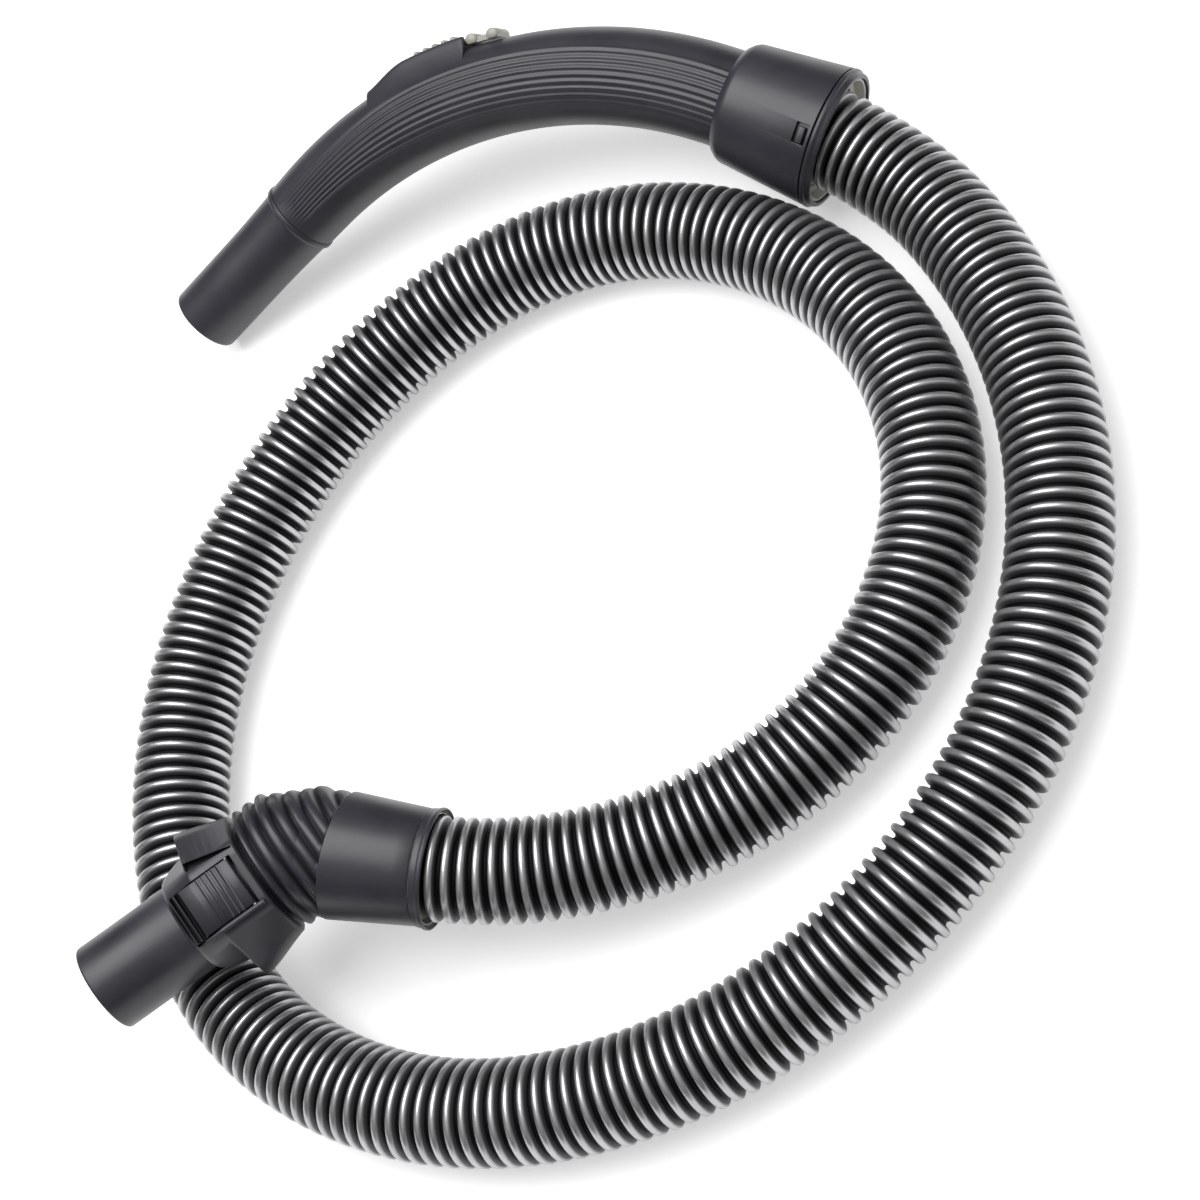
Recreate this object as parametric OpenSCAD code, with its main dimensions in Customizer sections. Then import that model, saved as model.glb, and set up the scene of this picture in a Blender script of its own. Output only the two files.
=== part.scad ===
// Corrugated hose of a household canister vacuum cleaner, lying in a loop and a half on the floor.
// One end is a bent hand grip with a suction regulator and a wand spigot.
// The other end is a ribbed elbow with a swivelling, latching machine spigot.
// Millimetres, +Z up, the floor is z = 0.

/* [Hose] */
// Outer diameter of the corrugated hose
hose_d = 40; // [36:0.5:40]
// Wall thickness of the hose, averaged over the corrugation
hose_wall = 1.2; // [0.8:0.1:2]

/* [Wand spigot and grip] */
// Outer diameter of the wand spigot at its open end
wand_d = 32; // [31:0.5:33]
// Length of the straight spigot that a wand slides over
wand_l = 68; // [50:1:69]
// Wall thickness of the spigot
wand_wall = 2.5; // [2:0.1:3]
// Radius of the grip where it leaves the spigot
grip_r0 = 17.4; // [17:0.1:18]
// Radius of the grip where it enters the handle cuff
grip_r1 = 20.4; // [20:0.1:20.5]
// Wall thickness of the grip
grip_wall = 2.6; // [2:0.1:3]
// Radius of the grip's bend, at its centre line
arch_r = 190; // [180:1:200]
// Half of the grip's whole bend, in degrees
arch_half = 31.5; // [30:0.5:32]

/* [Handle cuff] */
// Length of the cuff, with its retaining ring
cuff_l = 48; // [46:1:50]
// Radius of the cuff at its rear rim
cuff_r = 29.2; // [29:0.1:30]

/* [Machine end] */
// Outer diameter of the spigot that plugs into the machine
machine_d = 36; // [35:0.5:36.5]
// Wall thickness of the machine spigot
machine_wall = 2.8; // [2:0.1:3]
// Distance from the corner of the elbow to the open end of the machine spigot
machine_l = 91; // [85:1:95]
// Radius of the ribbed elbow
elbow_r = 25; // [24.5:0.1:25.5]
// Bend of the elbow, in degrees
elbow_bend = 44; // [42:1:45]
// Half width of the latch shroud over its two wings
wing_r = 32; // [30:0.5:32]

/* [Hidden] */
$fn = 64;

charcoal = "#3d3d42";
dark = "#2b2b2f";
hose_grey = "#55565a";
light_grey = "#c9c9c2";
steel = "#b4b8bc";
rubber = "#1b1b1d";

running = 0.1;
fitted = 0.05;
hose_r = hose_d / 2;

// ---- where the two ends lie on the floor ----
// The plan is centred on the two fitted ends, the hose apart.
plan_centre = [-5.3, -2, 0];
handle_pos = [-162, 124, 15.1] - plan_centre;
handle_turn = [32, -0.6, 0];
elbow_pos = [-62, -148, 59] - plan_centre;
connector_rise = 6.3;
connector_heading = -145.5;
elbow_roll = 77;
latch_roll = -11;

// ---- the grip's centre line, in the plane of its bend ----
arch_start = 81;
cuff_straight = 46;
arch_len = arch_r * arch_half * 2 * PI / 180;
arch_p1 = arch_start * [cos(arch_half), sin(arch_half), 0];
arch_centre = arch_p1 + arch_r * [sin(arch_half), -cos(arch_half), 0];
arch_p2 = arch_centre + arch_r * [sin(arch_half), cos(arch_half), 0];
mouth_xy = arch_p2 + cuff_straight * [cos(arch_half), -sin(arch_half), 0];

// ---- rotations as functions, for the ends of the hose ----
function about_x(v, a) = [v.x, v.y * cos(a) - v.z * sin(a), v.y * sin(a) + v.z * cos(a)];
function about_y(v, a) = [v.x * cos(a) + v.z * sin(a), v.y, v.z * cos(a) - v.x * sin(a)];
function about_z(v, a) = [v.x * cos(a) - v.y * sin(a), v.x * sin(a) + v.y * cos(a), v.z];
function turned(v, r) = about_z(about_y(about_x(v, r.x), r.y), r.z);
function handle_point(along) =
    handle_pos + turned(mouth_xy + along * [cos(arch_half), -sin(arch_half), 0], handle_turn);
function machine_point(along) =
    elbow_pos + turned(about_z(along * [sin(elbow_bend), 0, -cos(elbow_bend)], elbow_roll),
                       [0, 90 - connector_rise, connector_heading]);

module at_arch() {
    translate(handle_pos) rotate(handle_turn) children();
}

// Local Z runs from the open end of the spigot into the grip.
module at_spigot() {
    at_arch() rotate([0, 0, arch_half]) rotate([0, 90, 0]) children();
}

// Local Z runs out of the cuff towards the hose, and z = 0 is the cuff's rear rim.
module at_cuff() {
    at_arch() translate(mouth_xy) rotate([0, 0, -arch_half]) rotate([0, 90, 0]) children();
}

// Local Z runs from the corner of the elbow to the open end of the machine spigot.
module at_elbow() {
    translate(elbow_pos) rotate([0, 90 - connector_rise, connector_heading])
        rotate([0, 0, elbow_roll]) children();
}

// Local Z runs from the corner of the elbow towards the hose.
module at_machine_mouth() {
    at_elbow() rotate([0, 180 - elbow_bend, 0]) children();
}

module at_latch() {
    at_elbow() rotate([0, 0, latch_roll]) children();
}

// ---- a hollow tube of any radius swept along a path ----
function unit(v) = v / norm(v);
function tangent(path, i) = unit(path[min(i + 1, len(path) - 1)] - path[max(i - 1, 0)]);
function ring(p, t, r, sides) =
    let (side = unit(cross([0, 0, 1], t)), up = cross(t, side))
    [for (k = [0 : sides - 1]) p + r * (cos(360 * k / sides - 90) * side + sin(360 * k / sides - 90) * up)];
function wall_faces(first, rings, sides, flip) =
    [for (i = [0 : rings - 2], k = [0 : sides - 1])
        let (a = first + i * sides + k,
             b = first + i * sides + (k + 1) % sides,
             quad = [a, a + sides, b + sides, b],
             back = [b, b + sides, a + sides, a])
        for (tri = flip ? [[back[0], back[1], back[2]], [back[0], back[2], back[3]]]
                        : [[quad[0], quad[1], quad[2]], [quad[0], quad[2], quad[3]]]) tri];
function rim_faces(outer, inner, sides, flip) =
    [for (k = [0 : sides - 1])
        let (n = (k + 1) % sides,
             quad = flip ? [outer + n, inner + n, inner + k, outer + k]
                         : [outer + k, inner + k, inner + n, outer + n])
        for (tri = [[quad[0], quad[1], quad[2]], [quad[0], quad[2], quad[3]]]) tri];

module hollow_sweep(path, outer, inner, sides) {
    count = len(path);
    outer_points = [for (i = [0 : count - 1]) each ring(path[i], tangent(path, i), outer[i], sides)];
    inner_points = [for (i = [0 : count - 1]) each ring(path[i], tangent(path, i), inner[i], sides)];
    shell = count * sides;
    last = (count - 1) * sides;
    polyhedron(
        points = concat(outer_points, inner_points),
        faces = concat(wall_faces(0, count, sides, false),
                       wall_faces(shell, count, sides, true),
                       rim_faces(0, shell, sides, true),
                       rim_faces(last, shell + last, sides, false)),
        convexity = 10);
}

// ---- handle ----
grip_from = wand_l + 2;
grip_to = arch_start + arch_len + 1;
function arch_point(s) =
    s < arch_start ? s * [cos(arch_half), sin(arch_half), 0]
    : s > arch_start + arch_len
        ? arch_p2 + (s - arch_start - arch_len) * [cos(arch_half), -sin(arch_half), 0]
        : let (a = 90 + arch_half - (s - arch_start) / arch_r * 180 / PI)
          arch_centre + arch_r * [cos(a), sin(a), 0];
function grip_radius(s) =
    let (u = min(1, (s - grip_from) / (grip_to - grip_from)))
    grip_r0 + (grip_r1 - grip_r0) * (1 - (1 - u) * (1 - u));

module wand_spigot() {
    r = wand_d / 2;
    bore = r - wand_wall;
    color(charcoal) at_spigot() rotate_extrude()
        polygon([[bore, 0], [r - 0.8, 0], [r, 0.8], [r, 45], [r + 0.8, wand_l - 1], [r + 1.9, wand_l - 0.5],
                 [r + 1.9, wand_l + 1.5], [r + 1.2, wand_l + 1.9], [r - 1.4, wand_l + 1.9],
                 [r - 1.4, wand_l + 12], [bore, wand_l + 12]]);
}

module grip_sweep(outer, inner) {
    steps = 26;
    spots = [for (i = [0 : steps]) grip_from + (grip_to - grip_from) * i / steps];
    hollow_sweep([for (s = spots) arch_point(s)],
                 [for (s = spots) grip_radius(s) + outer],
                 [for (s = spots) inner > 0 ? inner : grip_radius(s) + inner], 32);
}

// Angle of a place along the grip, seen from the centre of its bend.
function arch_angle(s) = 90 + arch_half - (s - arch_start) / arch_r * 180 / PI;
neck_r = 19.6;
neck_from = -46;
neck_to = -26;

module grip_body() {
    color(charcoal) difference() {
        union() {
            at_arch() grip_sweep(0, -grip_wall);
            at_cuff() translate([0, 0, neck_from]) difference() {
                cylinder(h = neck_to - neck_from, r = neck_r);
                translate([0, 0, -1]) cylinder(h = neck_to - neck_from + 2, r = neck_r - 2.6);
            }
        }
        regulator_window();
    }
}

// ---- suction regulator, on the outside of the bend ----
// At rest the slider covers the window; drawn towards the cuff it lets air in.
housing_from = 128;
housing_to = 174;
housing_h = 24;
// Height over the centre line and half width of the housing's sloping sides, at the foot and above the top.
gable_foot = [12, 15];
gable_top = [25, 7.6];
slot_at = 157;
slider_from = 151;
slider_to = 188;
track_from = 150;
slider_r = arch_r + 22;
track_w = 12;
bars_at = [176.6, 185.4];
bar_r = 2.1;
bar_h = 22.2;

module arch_block(r0, r1, from, to, width) {
    at_arch() translate(arch_centre) rotate([0, 0, arch_angle(to)])
        rotate_extrude(angle = (to - from) / arch_r * 180 / PI)
            translate([r0, -width / 2]) square([r1 - r0, width]);
}

// A place in the plane of the bend, at a distance along the grip and a height over its centre line.
function arch_over(s, height) =
    let (a = arch_angle(s))
    [arch_centre.x + (arch_r + height) * cos(a), arch_centre.y + (arch_r + height) * sin(a)];

module regulator_housing() {
    color(charcoal) difference() {
        intersection() {
            at_arch() translate([0, 0, -gable_foot.y]) linear_extrude(2 * gable_foot.y) polygon([
                for (s = [housing_from : 4 : housing_to]) arch_over(s, gable_foot.x),
                arch_over(housing_to, housing_h - 0.8),
                for (s = [housing_to - 2 : -4 : housing_from + 22]) arch_over(s, housing_h),
                arch_over(housing_from + 12, housing_h - 1.2),
                arch_over(housing_from, 19.6)]);
            at_arch() translate(arch_centre) rotate([0, 0, arch_angle(housing_to + 4)])
                rotate_extrude(angle = (housing_to + 8 - housing_from) / arch_r * 180 / PI) polygon([
                    [arch_r + gable_foot.x, -gable_foot.y], [arch_r + gable_top.x, -gable_top.y],
                    [arch_r + gable_top.x, gable_top.y], [arch_r + gable_foot.x, gable_foot.y]]);
        }
        at_arch() grip_sweep(fitted, 2);
        // The track of the slider, open at the rear, and the window under it.
        arch_block(slider_r - 1.6, arch_r + housing_h + 2, track_from, housing_to + 4, track_w + 0.6);
        regulator_window();
    }
}

module regulator_window() {
    at_arch() translate([each arch_over(slot_at, 10), 0]) rotate([0, 0, arch_angle(slot_at)])
        translate([0, -4, -3]) cube([20, 8, 6]);
}

module regulator_gasket() {
    color(rubber) difference() {
        arch_block(slider_r - 1.5, slider_r - 0.6, slot_at - 5.8, slot_at + 5.6, track_w - 1);
        arch_block(slider_r - 2, slider_r, slot_at - 4, slot_at + 4, track_w - 5);
    }
}

// Low ridges stand in the track, and two round bars behind the housing leave a saddle for the finger.
module regulator_slider() {
    color(light_grey) {
        arch_block(slider_r - 0.5, slider_r + 0.9, slider_from, slider_to, track_w);
        for (s = bars_at)
            at_arch() translate([each arch_over(s, bar_h), 0])
                cylinder(h = track_w - 1, r = bar_r, center = true);
        for (s = [152 : 4 : 168]) arch_block(slider_r, slider_r + 2.6, s, s + 1.6, track_w - 1);
    }
}

// ---- handle cuff: it holds the hose's bush and lets it turn ----
window_angles = [180, 300, 60];
ring_z = -4.8;

module handle_cuff() {
    color(charcoal) at_cuff() difference() {
        rotate_extrude() polygon([
            [20.7, -cuff_l], [22.4, -cuff_l], [24, -47], [25, -45.4], [25.4, -43.5], [cuff_r - 0.2, ring_z],
            [26.4, ring_z], [26.4, -14.2], [24.8, -15], [22.9, -37], [neck_r + fitted, -37],
            [neck_r + fitted, -42.5], [20.7, -42.5]]);
        for (a = window_angles) rotate([0, 0, a]) translate([24, -4.2, -11.8]) cube([6, 8.4, 5.6]);
    }
}

module handle_ring() {
    color(dark) at_cuff() {
        rotate_extrude() polygon([
            [cuff_r, ring_z], [cuff_r, -2.6], [cuff_r - 1, 0], [26.2, 0], [26.2, -2.2], [27.5, -2.2],
            [27.5, -3.9], [24.8, -3.9], [24.8, -14], [26.2, -14], [26.2, ring_z]]);
        for (a = window_angles) rotate([0, 0, a]) translate([25.5, -2.9, -10.7]) cube([2.2, 7, 3.7]);
    }
}

module handle_seal() {
    color(rubber) at_cuff() translate([0, 0, -36.6]) difference() {
        cylinder(h = 4, r = 22.4);
        translate([0, 0, -1]) cylinder(h = 6, r = neck_r + fitted);
    }
}

module handle_bush() {
    color(light_grey) at_cuff() rotate_extrude() polygon([
        [hose_r + fitted, -32.2], [22.6, -32.2], [22.6, -6.4], [24.5, -6.4], [24.5, -3.6], [27.2, -3.6],
        [27.2, -2.5], [25.9, -2.5], [25.9, -0.9], [25, -0.9], [23.4, -5.2], [hose_r + 1.3, -5.2],
        [hose_r + fitted, -10]]);
}

// ---- hose ----
handle_mouth = handle_point(0);
machine_mouth = 55.5;
// Where the hose lies on the floor, walked from the handle to the machine end.
floor_route = [
    [164, 124, 23], [183, 105, 20], [208, 62, 20], [223, 14, 20], [227, -36, 20], [219, -86, 20],
    [199, -132, 20], [169, -172, 20], [131, -205, 20], [87, -229, 20], [39, -243, 20], [-12, -245, 20],
    [-61, -232, 20], [-104, -205, 20], [-133, -164, 20], [-146, -115, 20], [-146, -64, 20],
    [-134, -15, 20], [-112, 30, 20], [-81, 69, 20], [-41, 101, 20], [5, 121, 20], [55, 124, 20],
    [103, 109, 20], [144, 78, 20], [171, 36, 20], [181, -13, 20], [171, -63, 20], [144, -105, 20],
    [105, -136, 23], [60, -153, 30], [20, -159, 38]];
route = concat([handle_point(-24), handle_point(-12), handle_point(0)],
               [for (p = floor_route) p - plan_centre],
               [machine_point(machine_mouth), machine_point(45), machine_point(36)]);
// A uniform cubic B-spline over the route, which starts and ends on its end points.
function controls(i) =
    i < 0 ? 2 * route[0] - route[1]
    : i > len(route) - 1 ? 2 * route[len(route) - 1] - route[len(route) - 2]
    : route[i];
function spline(u) =
    let (i = min(floor(u), len(route) - 2), t = u - i)
    (pow(1 - t, 3) * controls(i - 1) + (3 * pow(t, 3) - 6 * t * t + 4) * controls(i)
     + (3 * t * (1 + t - t * t) + 1) * controls(i + 1) + pow(t, 3) * controls(i + 2)) / 6;
hose_steps = 74;
hose_path = [for (i = [0 : hose_steps]) spline((len(route) - 1) * i / hose_steps)];

module hose() {
    color(hose_grey) hollow_sweep(hose_path,
                                  [for (p = hose_path) hose_r],
                                  [for (p = hose_path) hose_r - hose_wall], 12);
}

// ---- machine end ----
machine_bush_r = hose_r + 1.2;
rim_r = hose_r + 3.2;
rim_from = 50.6;
ball_r = elbow_r + 0.8;
cone_from = 6.5;
collar_z = 13.4;
airway_r = 16.4;
swivel_r = 18.9;
neck_end = 31;

module machine_bush() {
    color(light_grey) at_machine_mouth() rotate_extrude() polygon([
        [hose_r + fitted, 33.4], [machine_bush_r, 33.4], [machine_bush_r, 52.4], [rim_r - 0.85, 52.4],
        [rim_r - 0.85, 53.6], [hose_r + 0.6, 53.6], [hose_r + fitted, 48]]);
}

module machine_ring() {
    inner = machine_bush_r + 0.1;
    color(dark) at_machine_mouth() rotate_extrude() polygon([
        [inner, rim_from], [rim_r, rim_from], [rim_r, 54.6], [rim_r - 0.8, machine_mouth],
        [inner, machine_mouth], [inner, 53.8], [rim_r - 0.7, 53.8], [rim_r - 0.7, 52.2], [inner, 52.2]]);
}

// The elbow is a ball at the corner, with a short collar one way and a cone towards the hose.
module elbow_shell() {
    difference() {
        union() {
            sphere(r = ball_r);
            cylinder(h = collar_z, r = elbow_r);
            rotate([0, 180 - elbow_bend, 0]) translate([0, 0, cone_from])
                cylinder(h = rim_from - cone_from, r1 = elbow_r, r2 = rim_r - 1);
        }
        translate([0, 0, collar_z]) cylinder(h = 2 * elbow_r, r = 2 * elbow_r);
    }
    translate([0, 0, collar_z - 3]) cylinder(h = neck_end - collar_z + 3, r = swivel_r);
}

module elbow_airway() {
    sphere(r = airway_r + 0.4);
    cylinder(h = 40, r = airway_r);
    rotate([0, 180 - elbow_bend, 0]) {
        cylinder(h = 40, r = airway_r);
        translate([0, 0, 33]) cylinder(h = 30, r = machine_bush_r + fitted);
    }
}

module elbow_body() {
    color(charcoal) at_elbow() difference() {
        elbow_shell();
        elbow_airway();
        // Grooves for the seal and for the clip.
        for (groove = [[18.7, 17.5], [25.5, 17.3]])
            translate([0, 0, groove[0]]) difference() {
                cylinder(h = 2.1, r = swivel_r + 1);
                translate([0, 0, -1]) cylinder(h = 4, r = groove[1]);
            }
    }
}

module swivel_seal() {
    color(rubber) at_elbow() translate([0, 0, 19.75]) rotate_extrude()
        translate([18.22, 0]) circle(0.68);
}

module swivel_clip() {
    color(steel) at_elbow() translate([0, 0, 25.8]) difference() {
        cylinder(h = 1.5, r = 19.6);
        translate([0, 0, -1]) cylinder(h = 4, r = 17.4);
        translate([15, -3, -1]) cube([8, 6, 4]);
    }
}

socket_r = 21;
shroud_from = 15.2;
shroud_to = 50;
step_z = 34;
seat_r = machine_d / 2 + 0.4;

module connector_tube() {
    r = machine_d / 2;
    bore = r - machine_wall;
    color(charcoal) at_latch() rotate_extrude() polygon([
        [swivel_r + running, shroud_from], [socket_r, shroud_from], [socket_r, step_z], [seat_r, step_z],
        [seat_r, shroud_to], [r, shroud_to + 0.4],
        [r, machine_l - 1], [r - 1, machine_l], [bore, machine_l], [bore, 31.6], [swivel_r + running, 31.6],
        [swivel_r + running, 27.6], [19.8, 27.6], [19.8, 25.4], [swivel_r + running, 25.4]]);
}

// ---- latch: a winged shroud with a lever on each broad side ----
lever_w = 20;
pivot_z = 21;
pivot_y = 23.2;
pin_r = 0.9;
pin_half = 11.8;

// Flat where the levers sit, and drawn out sideways into the two wings.
module shroud_section(z, half_w) {
    translate([0, 0, z]) linear_extrude(0.4) {
        for (x = [-9, 9], y = [-16.6, 16.6]) translate([x, y]) circle(8, $fn = 32);
        for (x = [-1, 1]) translate([x * (half_w - 14), 0]) circle(14, $fn = 32);
    }
}

module latch_shroud() {
    r = machine_d / 2;
    color(charcoal) at_latch() difference() {
        union() {
            hull() {
                shroud_section(shroud_from, wing_r - 6);
                shroud_section(36, wing_r);
            }
            hull() {
                shroud_section(36, wing_r - 10);
                translate([0, 0, shroud_to - 0.4]) cylinder(h = 0.4, r = r + 1.6, $fn = 32);
            }
        }
        translate([0, 0, shroud_from - 1]) cylinder(h = step_z + 1.05 - shroud_from, r = socket_r + fitted);
        cylinder(h = 60, r = seat_r + fitted);
        for (side = [0, 180]) rotate([0, 0, side]) {
            translate([-lever_w / 2 - 0.4, 15, 18]) cube([lever_w + 0.8, 20, 30.4]);
            translate([-pin_half - 0.2, pivot_y, pivot_z]) rotate([0, 90, 0])
                cylinder(h = 2 * pin_half + 0.4, r = pin_r + fitted);
        }
    }
}

module latch_pins() {
    color(steel) at_latch() for (side = [0, 180]) rotate([0, 0, side])
        translate([-pin_half, pivot_y, pivot_z]) rotate([0, 90, 0])
            cylinder(h = 2 * pin_half, r = pin_r);
}

module latch_lever() {
    difference() {
        translate([lever_w / 2, 0, 0]) rotate([0, -90, 0]) linear_extrude(lever_w)
            polygon([[18.6, 21.5], [18.6, 24.4], [20, 25.2], [24, 25.2], [25, 24.8], [36, 24.8], [43, 23.2],
                     [44.2, 23.6], [45.6, 22.6], [47.8, 21.9], [47.8, 20.2], [44, 20.2], [35.2, 22],
                     [24, 22], [23, 21.5]]);
        translate([-lever_w, pivot_y, pivot_z]) rotate([0, 90, 0])
            cylinder(h = 2 * lever_w, r = pin_r + running);
    }
}

module latch_lever_upper() {
    color(dark) at_latch() latch_lever();
}

module latch_lever_lower() {
    color(dark) at_latch() rotate([0, 0, 180]) latch_lever();
}

// A bowed leaf of spring steel that lies on the tube and lifts the lever.
module latch_spring() {
    leaf = 0.4;
    leaf_y = seat_r + fitted;
    translate([3, 0, 0]) rotate([0, -90, 0]) linear_extrude(6)
        polygon([[35.5, leaf_y], [37, leaf_y], [40.2, 20.1], [41.8, 20.1], [45, leaf_y], [46.5, leaf_y],
                 [46.5, leaf_y + leaf], [45.2, leaf_y + leaf], [42, 20.1 + leaf], [40, 20.1 + leaf],
                 [36.8, leaf_y + leaf], [35.5, leaf_y + leaf]]);
}

module latch_spring_upper() {
    color(steel) at_latch() latch_spring();
}

module latch_spring_lower() {
    color(steel) at_latch() rotate([0, 0, 180]) latch_spring();
}

wand_spigot();
grip_body();
regulator_housing();
regulator_gasket();
regulator_slider();
handle_cuff();
handle_ring();
handle_seal();
handle_bush();
hose();
machine_bush();
machine_ring();
elbow_body();
swivel_seal();
swivel_clip();
connector_tube();
latch_shroud();
latch_pins();
latch_lever_upper();
latch_lever_lower();
latch_spring_upper();
latch_spring_lower();
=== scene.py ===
import math

import bmesh
import bpy
import numpy as np
from mathutils import Matrix, Vector


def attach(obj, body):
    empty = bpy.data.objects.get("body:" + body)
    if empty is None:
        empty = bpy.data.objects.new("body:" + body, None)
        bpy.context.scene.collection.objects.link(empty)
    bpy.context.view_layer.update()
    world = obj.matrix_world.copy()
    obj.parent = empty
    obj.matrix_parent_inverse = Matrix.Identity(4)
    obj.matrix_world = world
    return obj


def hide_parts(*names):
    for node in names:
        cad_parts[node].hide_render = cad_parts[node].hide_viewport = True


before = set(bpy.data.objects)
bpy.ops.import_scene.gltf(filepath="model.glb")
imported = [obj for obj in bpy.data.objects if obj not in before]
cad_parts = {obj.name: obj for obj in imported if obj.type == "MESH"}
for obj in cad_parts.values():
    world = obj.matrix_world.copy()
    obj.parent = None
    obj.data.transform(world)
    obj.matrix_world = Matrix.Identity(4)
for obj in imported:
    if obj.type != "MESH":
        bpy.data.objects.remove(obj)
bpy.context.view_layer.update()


MM = 0.001
scene = bpy.context.scene

# ---------------------------------------------------------------- camera
cam_data = bpy.data.cameras.new("camera")
cam_data.sensor_width = 36.0
cam_data.lens = 70.26
camera = bpy.data.objects.new("camera", cam_data)
scene.collection.objects.link(camera)
cam_back = Vector((0.3777, -0.3857, 0.8418)).normalized()
cam_right = Vector((0.9173, 0.0320, -0.3969))
cam_right = (cam_right - cam_right.dot(cam_back) * cam_back).normalized()
cam_up = cam_back.cross(cam_right)
camera.matrix_world = Matrix.Translation((0.3953, -0.3980, 0.7960)) @ Matrix(
    (cam_right, cam_up, cam_back)).transposed().to_4x4()
scene.camera = camera


# ---------------------------------------------------------------- frames of the two ends, as in the CAD source
def turn(x, y, z):
    return (Matrix.Rotation(math.radians(z), 4, "Z") @ Matrix.Rotation(math.radians(y), 4, "Y")
            @ Matrix.Rotation(math.radians(x), 4, "X"))


def shift(x, y, z):
    return Matrix.Translation(Vector((x, y, z)) * MM)


PLAN = Vector((-5.3, -2, 0))
HALF = 31.5
ARCH_R = 190
cos_h, sin_h = math.cos(math.radians(HALF)), math.sin(math.radians(HALF))
ARCH_START = 81
ARCH_LEN = ARCH_R * math.radians(2 * HALF)
ELBOW_BEND = 44
arch_p1 = ARCH_START * Vector((cos_h, sin_h, 0))
arch_c = arch_p1 + ARCH_R * Vector((sin_h, -cos_h, 0))
arch_p2 = arch_c + ARCH_R * Vector((sin_h, cos_h, 0))
mouth_xy = arch_p2 + 46 * Vector((cos_h, -sin_h, 0))
at_arch = shift(*(Vector((-162, 124, 15.1)) - PLAN)) @ turn(32, -0.6, 0)
at_spigot = at_arch @ turn(0, 0, HALF) @ turn(0, 90, 0)
at_cuff = at_arch @ shift(*mouth_xy) @ turn(0, 0, -HALF) @ turn(0, 90, 0)
at_elbow = shift(*(Vector((-62, -148, 59)) - PLAN)) @ turn(0, 90 - 6.3, -145.5) @ turn(0, 0, 77)
at_mouth = at_elbow @ turn(0, 180 - ELBOW_BEND, 0)
at_latch = at_elbow @ turn(0, 0, -11)


def along(where, z):
    return where @ Vector((0, 0, z * MM))


# ---------------------------------------------------------------- the hose's route, as in the CAD source
FLOOR_ROUTE = [
    (164, 124, 23), (183, 105, 20), (208, 62, 20), (223, 14, 20), (227, -36, 20), (219, -86, 20),
    (199, -132, 20), (169, -172, 20), (131, -205, 20), (87, -229, 20), (39, -243, 20), (-12, -245, 20),
    (-61, -232, 20), (-104, -205, 20), (-133, -164, 20), (-146, -115, 20), (-146, -64, 20),
    (-134, -15, 20), (-112, 30, 20), (-81, 69, 20), (-41, 101, 20), (5, 121, 20), (55, 124, 20),
    (103, 109, 20), (144, 78, 20), (171, 36, 20), (181, -13, 20), (171, -63, 20), (144, -105, 20),
    (105, -136, 23), (60, -153, 30), (20, -159, 38)]
route = ([along(at_cuff, z) for z in (-24, -12, 0)]
         + [(Vector(p) - PLAN) * MM for p in FLOOR_ROUTE]
         + [along(at_mouth, z) for z in (55.5, 45, 36)])


def spline(points, per_span=24):
    """Points of a uniform cubic B-spline that starts and ends on its end points."""
    c = [2 * points[0] - points[1]] + points + [2 * points[-1] - points[-2]]
    out = []
    for i in range(len(points) - 1):
        for k in range(per_span + (i == len(points) - 2)):
            t = k / per_span
            out.append(((1 - t) ** 3 * c[i] + (3 * t ** 3 - 6 * t * t + 4) * c[i + 1]
                        + (3 * t * (1 + t - t * t) + 1) * c[i + 2] + t ** 3 * c[i + 3]) / 6)
    return out


class Line:
    """A smooth line that can be asked for the place and direction at any length along it."""

    def __init__(self, points):
        self.p = np.array([tuple(p) for p in points])
        steps = np.linalg.norm(np.diff(self.p, axis=0), axis=1)
        self.s = np.concatenate([[0], np.cumsum(steps)])
        tangents = np.gradient(self.p, self.s, axis=0)
        self.t = tangents / np.linalg.norm(tangents, axis=1)[:, None]
        self.length = float(self.s[-1])

    def at(self, s):
        place = Vector([float(np.interp(s, self.s, self.p[:, k])) for k in range(3)])
        way = Vector([float(np.interp(s, self.s, self.t[:, k])) for k in range(3)]).normalized()
        return place, way


hose_line = Line(spline(route))


# ---------------------------------------------------------------- mesh helpers
def make(name, verts, faces, body, material=None, smooth=38):
    mesh = bpy.data.meshes.new(name)
    mesh.from_pydata([tuple(v) for v in verts], [], faces)
    mesh.update()
    bm = bmesh.new()
    bm.from_mesh(mesh)
    bmesh.ops.recalc_face_normals(bm, faces=bm.faces)
    bm.to_mesh(mesh)
    bm.free()
    obj = bpy.data.objects.new(name, mesh)
    scene.collection.objects.link(obj)
    finish_mesh(obj, smooth)
    if material:
        mesh.materials.append(material)
    if body:
        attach(obj, body)
    return obj


def finish_mesh(obj, smooth):
    obj.data.shade_smooth()
    obj.data.set_sharp_from_angle(angle=math.radians(smooth))


def tube_faces(rings, sides, closed_rings=True, first=0):
    """Quads of a closed loop of rings, or an open run of them."""
    faces = []
    spans = rings if closed_rings else rings - 1
    for i in range(spans):
        for k in range(sides):
            a, b = first + i * sides + k, first + i * sides + (k + 1) % sides
            j = (i + 1) % rings
            c, d = first + j * sides + (k + 1) % sides, first + j * sides + k
            faces.append((a, b, c, d))
    return faces


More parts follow.
